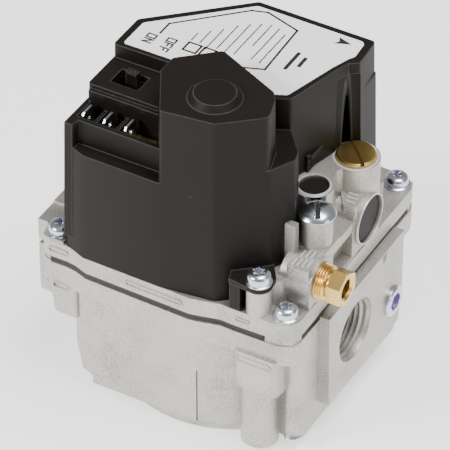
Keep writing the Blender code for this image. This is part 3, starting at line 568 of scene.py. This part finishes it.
join(upper_casting, *features(0.0))
join(
    upper_casting,
    prism("t", [(-50.9, -38.0), (-44.0, -38.0), (-44.0, -28.0), (-50.9, -28.0)], -FLANGE_T, 2.0),
    prism("t", [(-50.9, -28.2), (-50.9, 27.0), (-44.0, 27.0), (-44.0, -28.2)], -FLANGE_T, 2.6),
    box("t", (-44.4, -43.2, -1.0), (-38.0, -41.0, 0.7)),
    box("t", (-12.0, -46.2, -0.5), (10.0, -44.0, -0.01)),
)
cut(
    upper_casting,
    cylinder("t", TOWER, 5.2, 1.0, 40.0, n=60),
    cylinder("t", TOWER, 6.2, -10.0, 1.0, n=60),
    cylinder("t", BOSS, 5.0, 23.0, 40.0, n=60),
    cylinder("t", CHROME, 2.2, 10.0, 40.0, n=60),
    cylinder("t", CHROME, 6.6, CHROME_Z, 40.0),
    cylinder("t", CORNERS[3], 4.8, 0.0, 9.0),
    turned("t", (VENT_Y, VENT_Z), [(0, 60.0), (8.5, 60.0), (8.5, 45.4), (0, 45.4)], "x", 60),
    turned("t", (PILOT_Y, PILOT_Z), [(0, 60.0), (5.2, 60.0), (5.2, 40.0), (0, 40.0)], "x", 60),
    prism("t", [(43.2, -16.6), (60.0, -16.6), (60.0, -3.4), (43.2, -3.4)], 0.8, 11.6),
    cylinder("t", EAR, 1.8, 1.0, 30.0, n=60),
    cylinder("t", COIL_A, 7.2, -3.5, 5.0, n=60),
    cylinder("t", COIL_A, 1.5, -10.0, 0.0, n=48),
    cylinder("t", COIL_B, 7.2, -3.5, 5.0, n=60),
    cylinder("t", COIL_B, 1.5, -10.0, 0.0, n=48),
)
for x, y in CORNERS:
    cut(upper_casting, cylinder("t", (x, y), 2.3, -10.0, 5.0, n=60))
paint(upper_casting, "casting")

# ---------------------------------------------------------------- black cover
NOSE = [(-28.9, -45.95), (0.0, -46.1), (18.9, -43.6), (32.6, -31.9)]
TAIL = [(37.2, -22.9), (36.0, -18.8), (28.3, -9.9), (33.6, 10.7), (35.3, 16.2), (38.5, 19.0), (38.3, 31.5),
        (-6.7, 31.7),
        (-37.2, 3.2)]
TAIL_R = [2, 0, 0, 0, 0, 1, 1.5, 2, 2]
O_LOW = rounded([(-37.3, -42.9), (-33.8, -44.1)] + NOSE + TAIL, [1.5, 0, 0, 0, 3.5, 3] + TAIL_R)
O_50 = rounded([(-37.2, -44.1), (-33.8, -44.1), (-33.5, -41.0), (-2.8, -41.0)] + NOSE[1:] + TAIL,
               [1, 1, 0.5, 0, 1, 3.5, 3] + TAIL_R)
O_51 = untapered([(-36.1, -43.0), (-33.0, -43.2), (-32.6, -40.0), (-2.6, -40.0), (5.0, -20.0), (22.9, -12.0),
                  (27.4, -9.8), (30.0, 0.0), (30.0, 25.0), (-6.5, 29.0), (-36.0, 2.9)], 51.0)
O_57 = rounded(untapered([(-36.0, -28.3), (-10.0, -28.3), (-10.0, 0.0), (-36.0, 0.0)], 57.0), [1.0, 0, 0, 0])
O_62 = rounded(untapered([(-36.0, -12.3), (22.9, -12.0), (27.4, -9.8), (32.6, 10.0), (34.4, 15.5),
                          (37.4, 17.4),
                          (36.5, 30.1), (-6.5, 30.5), (-36.0, 2.9)], 62.0), [1.0, 0, 1.5, 0, 0, 1, 1.5, 2, 2])
O_70 = rounded([(-10.4, -19.6), (2.1, -8.1), (27.2, -19.4), (29.9, -23.1)] + NOSE[:0:-1] + [(-10.5, -27.46)],
               [1.5, 2, 2, 1, 3, 3.5, 1.5, 1.0])
STEPS = [(O_LOW, 42.0), (O_50, 50.0), (O_51, 51.2), (O_57, 57.0), (O_62, 62.2), (O_70, 70.6)]
cover = prism("cover", STEPS[0][0], 0.0, STEPS[0][1])
for outline, top in STEPS[1:]:
    join(cover, prism("t", outline, 0.0 if top > 51.3 else 5.0, top))
taper(cover)
INNER = [
    (untapered([(-36.4, -42.0), (-28.3, -45.0), (11.0, -45.6), (18.5, -42.6), (31.5, -31.2), (36.3, -22.3),
                (27.6, -9.8),
                (32.6, 10.0), (37.3, 18.0), (37.2, 30.4), (-6.5, 30.7), (-36.2, 2.9)], 42.0), 40.0),
    (untapered([(-36.1, -40.0), (-2.4, -40.0), (0.0, -44.8), (18.3, -42.2), (31.5, -31.0), (36.0, -22.3),
                (27.4, -9.8), (32.6, 10.0), (37.4, 18.0), (37.0, 30.1), (-6.5, 30.5), (-36.0, 2.9)], 50.0),
     48.0),
    (untapered([(-36.0, -28.3), (-10.0, -28.3), (-10.0, 0.0), (-36.0, 0.0)], 57.0), 55.0),
    (untapered([(-36.0, -12.3), (22.9, -12.0), (27.4, -9.8), (32.6, 10.0), (37.4, 17.4), (36.5, 30.1),
                (-6.5, 30.5), (-36.0, 2.9)], 62.0), 60.2),
    (untapered([(-10.0, -19.0), (2.0, -8.0), (26.2, -18.8), (31.4, -30.8), (18.3, -42.1), (-0.3, -44.4),
                (-10.1, -26.6)], 70.0), 68.6),
]
for outline, top in INNER:
    cut(cover, taper(prism("t", inset(outline, COVER_WALL), -3.0, top)))
join(
    cover,
    turned("t", BUTTON, [(0, 72.6), (6.8, 72.6), (8.95, 70.4), (8.95, 69.5), (0, 69.5)]),
    cylinder("t", EAR, 4.5, 10.3, 12.0, n=60),
    prism("t", [(23.0, -40.0), (24.0, -43.6), (29.0, -44.4), (33.2, -44.65), (37.7, -40.2), (37.2, -36.0),
                (33.0, -30.0),
                (25.0, -36.0)], 10.3, 12.0),
    prism("t", [(23.6, -39.0), (24.2, -43.4), (26.4, -43.9), (28.2, -43.9), (28.2, -41.0), (26.0, -36.0)],
          0.2, 11.0),
    prism("t", [(-35.0, -39.0), (-3.0, -39.0), (-8.4, -28.4), (-35.0, -28.4)], 42.5, 44.5),
    box("t", (-35.0, -29.8, 42.5), (-9.0, -28.35, 55.5)),
)
cut(
    cover,
    prism("t", [(-34.1, -38.2), (-4.25, -38.2), (-8.9, -29.8), (-34.1, -29.8)], 44.5, 54.0),
    box("t", (-30.3, -24.0, 50.0), (-20.2, -16.6, 60.0)),
    cylinder("t", EAR, 2.2, 5.0, 20.0, n=60),
    cylinder("t", TOWER, 7.1, 25.0, 58.0, n=84),
    *features(0.3),
)
for x in TERMINALS_X:
    cut(cover, box("t", (x - 0.8, -38.0, 40.0), (x + 0.8, -30.7, 48.0)))
join(
    cover,
    box("t", (-29.2, -38.4, 44.0), (-28.0, -29.6, 49.5)),
    box("t", (-21.2, -38.4, 44.0), (-20.0, -29.6, 49.5)),
)
paint(cover, "black")

label_outline = rounded(untapered([(-33.4, -10.6), (21.8, -10.4), (25.6, -8.6), (31.0, 10.8), (33.4, 17.6),
                                   (34.6, 19.5),
                                   (34.0, 27.8), (-5.6, 28.2), (-33.4, 1.9)], 62.0),
                        [1, 1, 1.5, 0, 0, 2, 2, 2, 2])
rating_label = taper(prism("rating_label", label_outline, 62.2, 62.35))
cut(rating_label, prism("t", inset(untapered([(-10.0, -19.0), (2.0, -8.0), (26.2, -18.8), (20.0, -30.0),
                                               (-10.0, -30.0)], 70.0), -1.2), 60.0, 66.0))
paint(rating_label, "label")


# ---------------------------------------------------------------- screws and plugs
def star(centre, low, high):
    """A six-pointed drive."""
    points = []
    for k in range(24):
        t = 2 * math.pi * k / 24
        r = 1.75 + 0.38 * math.cos(6 * t)
        points.append((centre[0] + r * math.cos(t), centre[1] + r * math.sin(t)))
    return prism("t", points, low, high)


names = ("flange_screw_front_right", "flange_screw_back_right", "flange_screw_back_left",
         "flange_screw_front_left")
for name, (x, y) in zip(names, CORNERS):
    screw = turned(name, (x, y), [(0, 4.2), (2.2, 4.1), (3.2, 3.75), (3.75, 3.1), (3.9, 2.3), (3.9, 1.0),
                                  (4.5, 0.7), (4.5, 0.0),
                                  (2.0, 0.0), (2.0, -18.0), (0, -18.0)], n=48)
    paint(cut(screw, star((x, y), 2.6, 8.0)), "zinc")
cover_screw = turned("cover_screw", EAR, [(0, 16.2), (2.2, 16.1), (3.2, 15.75), (3.75, 15.1), (3.9, 14.3),
                                          (3.9, 12.6), (4.4, 12.4), (4.4, 12.0),
                                          (1.6, 12.0), (1.6, 2.0), (0, 2.0)], n=60)
paint(cut(cover_screw, star(EAR, 14.6, 18.0)), "zinc")
regulator_cap = turned("regulator_cap", TOWER, [(0, 31.0), (6.2, 31.0), (6.65, 30.6), (6.65, TOP_Z),
                                                (4.9, TOP_Z), (4.9, 24.5),
                                                (0, 24.5)], n=72)
slot_box = box("t", (-0.65, -9.0, 30.1), (0.65, 9.0, 33.0))
slot_box.data.transform(Matrix.Translation(-SHIFT * MM))
slot_box.data.transform(Matrix.Rotation(math.radians(CAP_SLOT_TURN), 4, "Z"))
slot_box.data.transform(Matrix.Translation((SHIFT + Vector((TOWER[0], TOWER[1], 0.0))) * MM))
paint(cut(regulator_cap, slot_box), "brass")
chrome_screw = turned("pilot_cover_screw", CHROME, [(0, 30.0), (2.4, 29.8), (4.6, 29.0), (5.8, 28.1),
                                                    (6.2, 27.5), (6.2, CHROME_Z),
                                                    (1.9, CHROME_Z), (1.9, 12.0), (0, 12.0)], n=60)
slot_turn = math.radians(SLOT_TURN)
along = Vector((-math.sin(slot_turn), math.cos(slot_turn)))
across = Vector((along.y, -along.x)) * 0.8
ends = [Vector(CHROME) + along * 9.0 * e + across * w for e, w in ((-1, -1), (1, -1), (1, 1), (-1, 1))]
paint(cut(chrome_screw, prism("t", [tuple(p) for p in ends], 28.7, 33.0)), "zinc")
paint(turned("blanking_plug", BOSS, [(0, 29.0), (4.3, 29.0), (4.7, 28.6), (4.7, 24.0), (0, 24.0)], n=60),
      "plug")
paint(turned("vent_plug", (VENT_Y, VENT_Z), [(0, 47.6), (7.9, 47.6), (8.3, 47.2), (8.3, 45.4), (0, 45.4)],
             "x", 60), "plug")
pilot_nut = prism("pilot_nut", circle(PILOT_Y, PILOT_Z, 6.3, 6, math.radians(30.0)), 52.2, 57.0, "x")
join(
    pilot_nut,
    turned("t", (PILOT_Y, PILOT_Z), [(0, 52.4), (4.7, 52.4), (4.7, 51.4), (5.5, 50.9), (5.9, 50.5),
                                     (5.3, 50.1), (6.0, 49.7),
                                     (5.4, 49.3), (6.1, 48.9), (5.5, 48.5), (6.2, 48.1), (6.2, 47.6),
                                     (4.9, 47.6), (4.9, 41.0),
                                     (0, 41.0)], "x", 72),
)
hex_limit = turned("t", (PILOT_Y, PILOT_Z), [(0, 57.35), (5.5, 57.35), (6.5, 56.5), (6.8, 55.9),
                                             (6.8, 52.6), (6.3, 52.0), (6.25, 40.5), (0, 40.5)], "x", 60)
combine(pilot_nut, "INTERSECT", [hex_limit])
paint(cut(pilot_nut, turned("t", (PILOT_Y, PILOT_Z), [(0, 60.0), (4.5, 60.0), (4.3, 57.2), (3.3, 56.2),
                                                      (3.3, 43.0), (0, 43.0)], "x", 60)), "brass")
for name, sign in (("outlet_tap_plug", 1.0), ("inlet_tap_plug", -1.0)):
    face = PORT_FACE * sign
    plug = turned(name, TAP, [(0, face + 1.6 * sign), (4.9, face + 1.6 * sign), (5.5, face + 1.1 * sign),
                                        (5.5, face), (3.9, face), (3.9, face - 7.5 * sign),
                              (0, face - 7.5 * sign)], "x", 60)
    hole = sorted((face - 3.5 * sign, face + 4.0 * sign))
    paint(cut(plug, prism("t", circle(*TAP, 3.5, 6), hole[0], hole[1], "x")), "zinc")

# ---------------------------------------------------------------- switch and terminals
switch_base = box("switch_base", (-33.5, -26.0, 44.8), (-14.0, -14.5, 54.5))
cut(switch_base, box("t", (-30.6, -23.4, 47.0), (-20.0, -16.8, 60.0)))
paint(switch_base, "black")
switch_knob = box("switch_knob", (-27.5, -19.3, 47.3), (-23.5, -16.9, 58.8))
join(switch_knob, box("t", (-28.2, -21.6, 47.3), (-22.8, -17.1, 52.0)))
for k in range(3):
    cut(switch_knob, box("t", (-26.95 + 1.2 * k, -30.0, 58.2), (-26.45 + 1.2 * k, 0.0, 60.0)))
paint(switch_knob, "black")
paint(box("switch_contact", (-20.9, -22.8, 47.0), (-20.3, -17.4, 55.5)), "steel")
for k, x in enumerate(TERMINALS_X):
    blade = prism("terminal_%d" % (k + 1), [(-37.6, 35.0), (-31.1, 35.0), (-31.1, 51.2), (-32.1, 52.2),
                                            (-36.6, 52.2),
                                            (-37.6, 51.2)], x - 0.4, x + 0.4, "x")
    cut(blade, cylinder("t", (-34.4, 48.9), 0.9, x - 3.0, x + 3.0, "x", n=36))
    paint(blade, "steel")
paint(box("terminal_strip", (-16.3, -33.4, 44.5), (-9.0, -30.6, 45.3)), "brass")


def extra(name, obj, look_slot):
    """Adds a visible piece that no CAD node holds. It stays on the fixed body."""
    obj.name = name
    obj.data.name = name
    obj.data.materials.clear()
    obj.data.materials.append(LOOKS[look_slot])
    smooth(obj)
    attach(obj, "valve_body")
    return obj


# ---------------------------------------------------------------- springs in place of the CAD springs
def spring(node, centre, r, wire, low, high, turns):
    """A round-wire spring from low to high, in place of the CAD node, which it hides."""
    obj = helix(node, centre, r, wire, low, high, turns, 40, 10)
    obj.data.materials.append(LOOKS["steel"])
    smooth(obj, 60.0)
    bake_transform(obj)
    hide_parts(node)


spring("plunger_spring_a", COIL_A, 2.1, 0.35, 8.1, 21.9, 5)
spring("plunger_spring_b", COIL_B, 2.1, 0.35, 8.1, 21.9, 5)
spring("main_spring", PAN_C, 5.6, 0.5, -29.5, -6.8, 5)
spring("regulator_spring", TOWER, 3.5, 0.45, 3.2, 15.8, 4)


# ---------------------------------------------------------------- thread in the ports
def thread(name, centre, r, pitch, start, turns, sign):
    """A helical ridge on the wall of a port, standing inwards."""
    per_turn = 72
    steps = int(turns * per_turn)
    verts = []
    for i in range(steps + 1):
        t = 2 * math.pi * i / per_turn
        x = start - sign * pitch * i / per_turn
        fade = min(1.0, i / 18.0, (steps - i) / 18.0)
        taper_r = r - 0.012 * pitch * i / per_turn
        for dx, dr in ((-0.48, 0.25), (0.0, -0.85 * fade + 0.1), (0.48, 0.25)):
            rr = taper_r + dr
            verts.append((x + dx * pitch, centre[0] + rr * math.cos(t), centre[1] + rr * math.sin(t)))
    faces = [(0, 1, 2), (3 * steps + 2, 3 * steps + 1, 3 * steps)]
    for i in range(steps):
        for k in range(3):
            a = 3 * i + k
            b = 3 * i + (k + 1) % 3
            faces.append((a, b, b + 3, a + 3))
    return made(name, verts, faces)


extra("outlet_thread", thread("outlet_thread", (PORT_Y, PORT_Z), 10.45, 1.8, PORT_FACE - 1.8, 7, 1.0),
      "casting")
extra("inlet_thread", thread("inlet_thread", (PORT_Y, PORT_Z), 10.45, 1.8, -PORT_FACE + 1.8, 7, -1.0),
      "casting")


# ---------------------------------------------------------------- print on the label
def printed(name, strokes, z, width):
    """Flat strokes of ink: each is a list of points joined by thin bars."""
    verts = []
    faces = []
    for stroke in strokes:
        for (x0, y0), (x1, y1) in zip(stroke, stroke[1:]):
            d = Vector((x1 - x0, y1 - y0)).normalized() * width / 2
            n = Vector((-d.y, d.x))
            first = len(verts)
            for z_level in (z, z + INK_THICKNESS):
                for x, y, s, e in ((x0, y0, 1, -1), (x0, y0, -1, -1), (x1, y1, -1, 1), (x1, y1, 1, 1)):
                    verts.append((x + n.x * s + d.x * e, y + n.y * s + d.y * e, z_level))
            faces += [tuple(first + q for q in face) for face in
                      ((0, 1, 2, 3), (7, 6, 5, 4), (0, 4, 5, 1), (1, 5, 6, 2), (2, 6, 7, 3), (3, 7, 4, 0))]
    return made(name, verts, faces)


LABEL_Z = 62.36
INK_THICKNESS = 0.03
WORDS_TURN = -90.0
block_line = [(-25.8, -0.2), (-25.8, 5.6), (-6.2, 24.9), (-1.0, 26.6), (11.9, 22.6), (12.9, -0.6)]
thick = [block_line]
thick += [[(-15.2, -4.2), (-10.6, -4.2), (-10.6, 0.2), (-15.2, 0.2), (-15.2, -4.2)],
          [(-9.4, -4.2), (-5.2, -4.2), (-5.2, 0.2), (-9.4, 0.2), (-9.4, -4.2)], [(5.0, -3.6), (12.8, -0.6)]]
extra("label_border", printed("label_border", thick, LABEL_Z, 0.75), "ink")
GLYPHS = {
    "O": [[(0, 0), (0, 1), (0.6, 1), (0.6, 0), (0, 0)]],
    "N": [[(0, 0), (0, 1), (0.6, 0), (0.6, 1)]],
    "F": [[(0, 0), (0, 1), (0.6, 1)], [(0, 0.5), (0.45, 0.5)]],
}


def words(text, x, y, size):
    """The strokes of a word, which reads along the label's short side."""
    out = []
    c = math.cos(math.radians(WORDS_TURN))
    s = math.sin(math.radians(WORDS_TURN))
    for k, letter in enumerate(text):
        for stroke in GLYPHS.get(letter, []):
            out.append([(x + ((gx + 0.9 * k) * c - gy * s) * size, y + ((gx + 0.9 * k) * s + gy * c) * size)
                        for gx, gy in stroke])
    return out


fine_lines = []
for column in range(9):
    x = 9.6 - column * 3.1
    top_y = (18.5, 20.5, 21.0, 20.0, 18.0, 15.5, 11.5, 8.5, 5.5)[column]
    y = top_y
    while y > (1.2, 3.4, 8.2, 4.0, 2.0, 3.2, 1.4, 2.2, 1.6)[column]:
        step = 0.9 + 0.8 * ((int(y * 5) + column * 3) % 3)
        fine_lines.append([(x, y), (x, y - step)])
        y -= step + 0.55
extra("label_lines", printed("label_lines", fine_lines, LABEL_Z, 0.45), "ink")
strong = words("ON", -28.8, -2.0, 3.0) + words("OFF", -22.0, -1.0, 3.0)
extra("label_words", printed("label_words", strong, LABEL_Z, 0.62), "ink")
plain_bars = [[(21.4, 10.6), (21.4, 6.4)], [(18.2, 12.0), (18.2, 3.2)]]
extra("label_bars", printed("label_bars", plain_bars, LABEL_Z, 1.3), "ink")
arrow = [(30.6, 24.6), (25.4, 26.2), (26.4, 24.2), (25.2, 22.4)]
extra("label_arrow", prism("t", arrow, LABEL_Z, LABEL_Z + INK_THICKNESS), "ink")


# ---------------------------------------------------------------- raised bars on the casting pads
def bars(name, items):
    """Several boxes joined into one piece."""
    piece = None
    for low, high in items:
        block = box("t", low, high)
        piece = block if piece is None else join(piece, block)
    piece.name = name
    return piece


def tower_room():
    """The space inside the regulator tower, which a pad on its outside must leave free."""
    return cylinder("t", TOWER, 7.2, 10.0, 24.0, n=72)


PAINT_X = 50.98
PAD_Z = 20.4
VENT_PAD = [(37.4, 6.0), (45.9, 9.8), (47.3, -1.4), (43.0, -2.6)]
extra("vent_pad", cut(prism("t", rounded(VENT_PAD, 0.6), 14.0, PAD_Z), tower_room()), "casting")
vent_bars = [((42.9 - 0.55 * k, -0.7 + 2.0 * k, 20.2), (46.2 - 0.45 * k, 0.1 + 2.0 * k,
                                                        20.85)) for k in range(5)]
extra("vent_pad_marks", cut(bars("vent_pad_marks", vent_bars), tower_room()), "blank")
pilot_bars = [((39.9 + 1.6 * k, -31.2 + 0.4 * k, 15.0), (40.6 + 1.6 * k, -27.8 + 0.4 * k,
                                                         15.7)) for k in range(4)]
pilot_bars += [((40.4 + 1.6 * k, -26.4 + 0.4 * k, 15.0),
                (41.1 + 1.6 * k, -23.0 + 0.4 * k, 15.7)) for k in range(3)]
extra("pilot_pad_marks", bars("pilot_pad_marks", pilot_bars), "blank")
smear = [(11.9, -9.2), (13.2, -8.9), (14.1, -9.4), (14.6, -8.7), (15.1, -9.5), (14.3, -10.6), (14.4, -12.0),
         (13.5, -11.2),
         (12.9, -12.4), (12.2, -11.3), (12.5, -10.2)]
extra("paint_mark", prism("t", smear, 46.0, PAINT_X, "x"), "green")
for tap, sign in (("outlet_tap_sealant", 1.0), ("inlet_tap_sealant", -1.0)):
    levels = sorted(((PORT_FACE + 0.5) * sign, (PORT_FACE - 3.4) * sign))
    extra(tap, prism("t", circle(*TAP, 3.45, 6), levels[0], levels[1], "x"), "violet")
groove_left = box("t", (-27.0, -46.6, -46.0), (-26.5, -44.9, -26.0))
groove_right = box("t", (12.9, -46.6, -53.0), (13.35, -44.6, -31.0))
cut(skins["lower_body"], groove_left, groove_right)


def lozenge(name, x0, x1, z0, z1, y0, y1, hollow=0.45):
    """A raised slot-shaped outline on a front face. The face may run slightly askew, from y0 to y1."""
    r = (z1 - z0) / 2
    outline = []
    for side, centre_x in ((-90, x1 - r), (90, x0 + r)):
        for k in range(9):
            t = math.radians(side + 180 * k / 8)
            outline.append((centre_x + r * math.cos(t), z0 + r + r * math.sin(t)))
    piece = prism("t", outline, -0.35, 1.5, "y")
    cut(piece, prism("t", inset(outline, hollow), -2.0, 2.0, "y"))
    for vertex in piece.data.vertices:
        x = vertex.co.x / MM - SHIFT.x
        vertex.co.y += (y0 + (y1 - y0) * (x - x0) / (x1 - x0)) * MM
    return extra(name, piece, "casting")


lozenge("flange_slot_left", -43.6, -36.0, -4.6, -2.2, -43.55, -43.5)
lozenge("flange_slot_middle", -13.0, 8.5, -4.6, -2.4, -45.87, -46.25)
lozenge("flange_slot_right", 26.5, 32.0, -4.4, -2.6, -43.97, -43.85)
lozenge("body_slot_left", -42.6, -36.0, -19.5, -16.9, -43.5, -43.4)
lozenge("body_slot_right", 27.6, 40.6, -20.2, -17.6, -44.75, -44.75)
for name, foot in (("foot_left", (-22.5, -42.6, -54.6)), ("foot_right", (44.6, -37.2, -52.9))):
    extra(name, turned("t", foot[:2], [(0, foot[2] + 1.8), (2.9, foot[2] + 1.8), (2.9, foot[2] + 0.8),
                                       (2.2, foot[2] + 0.2),
                                       (0, foot[2])], n=48), "zinc")
extra("casting_fin", prism("t", rounded([(40.6, 20.4), (41.9, 20.4), (42.6, 27.5), (41.3, 27.5)], 0.4),
                           -0.5, 9.0), "casting")
extra("cover_hook", join(box("t", (28.6, -3.6, 28.5), (30.6, 3.6, 29.7)),
                         box("t", (29.4, -3.6, 28.5), (30.6, -2.4, 36.0)),
                         box("t", (29.6, -3.0, 34.6), (31.6, 4.4, 35.8))), "black")
extra("plug_rim", turned("t", BOSS, [(5.05, 29.3), (5.05, 29.9), (5.5, 29.9), (6.1, 29.3)], n=72), "blank")
extra("vent_rim", turned("t", (VENT_Y, VENT_Z), [(8.45, 48.1), (8.45, 48.6), (8.8, 48.6), (9.0, 48.1)], "x",
                         96), "blank")
extra("cap_chamfer", turned("t", TOWER, [(6.9, 29.4), (6.9, 29.62), (7.4, 29.62), (7.9, 29.4)], n=96),
      "blank")

# ---------------------------------------------------------------- camera, floor and light
target = (Vector((2.9, -8.6, 0.0)) + SHIFT) * MM
azimuth = math.radians(VIEW_TURN)
elevation = math.radians(VIEW_HEIGHT)
back = Vector((math.sin(azimuth) * math.cos(elevation), -math.cos(azimuth) * math.cos(elevation),
               math.sin(elevation)))
camera_data = bpy.data.cameras.new("camera")
camera_data.lens = 280.0
camera_data.sensor_width = 36.0
camera_data.clip_start = 0.05
camera = bpy.data.objects.new("camera", camera_data)
bpy.context.scene.collection.objects.link(camera)
camera.location = target + back * VIEW_DISTANCE
camera.rotation_euler = back.to_track_quat("Z", "Y").to_euler()
bpy.context.scene.camera = camera

floor_mesh = bpy.data.meshes.new("floor")
floor_mesh.from_pydata([(-4, -4, 0), (4, -4, 0), (4, 4, 0), (-4, 4, 0)], [], [(0, 1, 2, 3)])
floor = bpy.data.objects.new("floor", floor_mesh)
bpy.context.scene.collection.objects.link(floor)
floor_material = bpy.data.materials.new("floor")
floor_material.use_nodes = True
floor_shader = floor_material.node_tree.nodes["Principled BSDF"]
floor_shader.inputs["Base Color"].default_value = (0.86, 0.86, 0.86, 1.0)
floor_shader.inputs["Roughness"].default_value = 0.9
floor_shader.inputs["Emission Color"].default_value = (1.0, 1.0, 1.0, 1.0)
floor_shader.inputs["Emission Strength"].default_value = 1.0
floor.data.materials.append(floor_material)

world = bpy.data.worlds.new("studio")
world.use_nodes = True
sky = world.node_tree.nodes["Background"]
sky.inputs["Color"].default_value = (1.0, 1.0, 1.0, 1.0)
sky.inputs["Strength"].default_value = 0.33
bpy.context.scene.world = world


def area(name, place, size, power):
    """A rectangular lamp that points at the middle of the valve."""
    data = bpy.data.lights.new(name, "AREA")
    data.shape = "RECTANGLE"
    data.size = size[0]
    data.size_y = size[1]
    data.energy = power
    lamp = bpy.data.objects.new(name, data)
    bpy.context.scene.collection.objects.link(lamp)
    lamp.location = place
    aim = Vector((0.0, 0.0, 0.06)) - Vector(place)
    lamp.rotation_euler = aim.to_track_quat("-Z", "Y").to_euler()


area("key", (-0.45, -0.65, 0.55), (0.30, 0.30), 8.5)
area("top", (0.22, 0.02, 0.85), (0.4, 0.4), 7.5)
area("right", (0.8, -0.05, 0.35), (0.25, 0.5), 1.0)
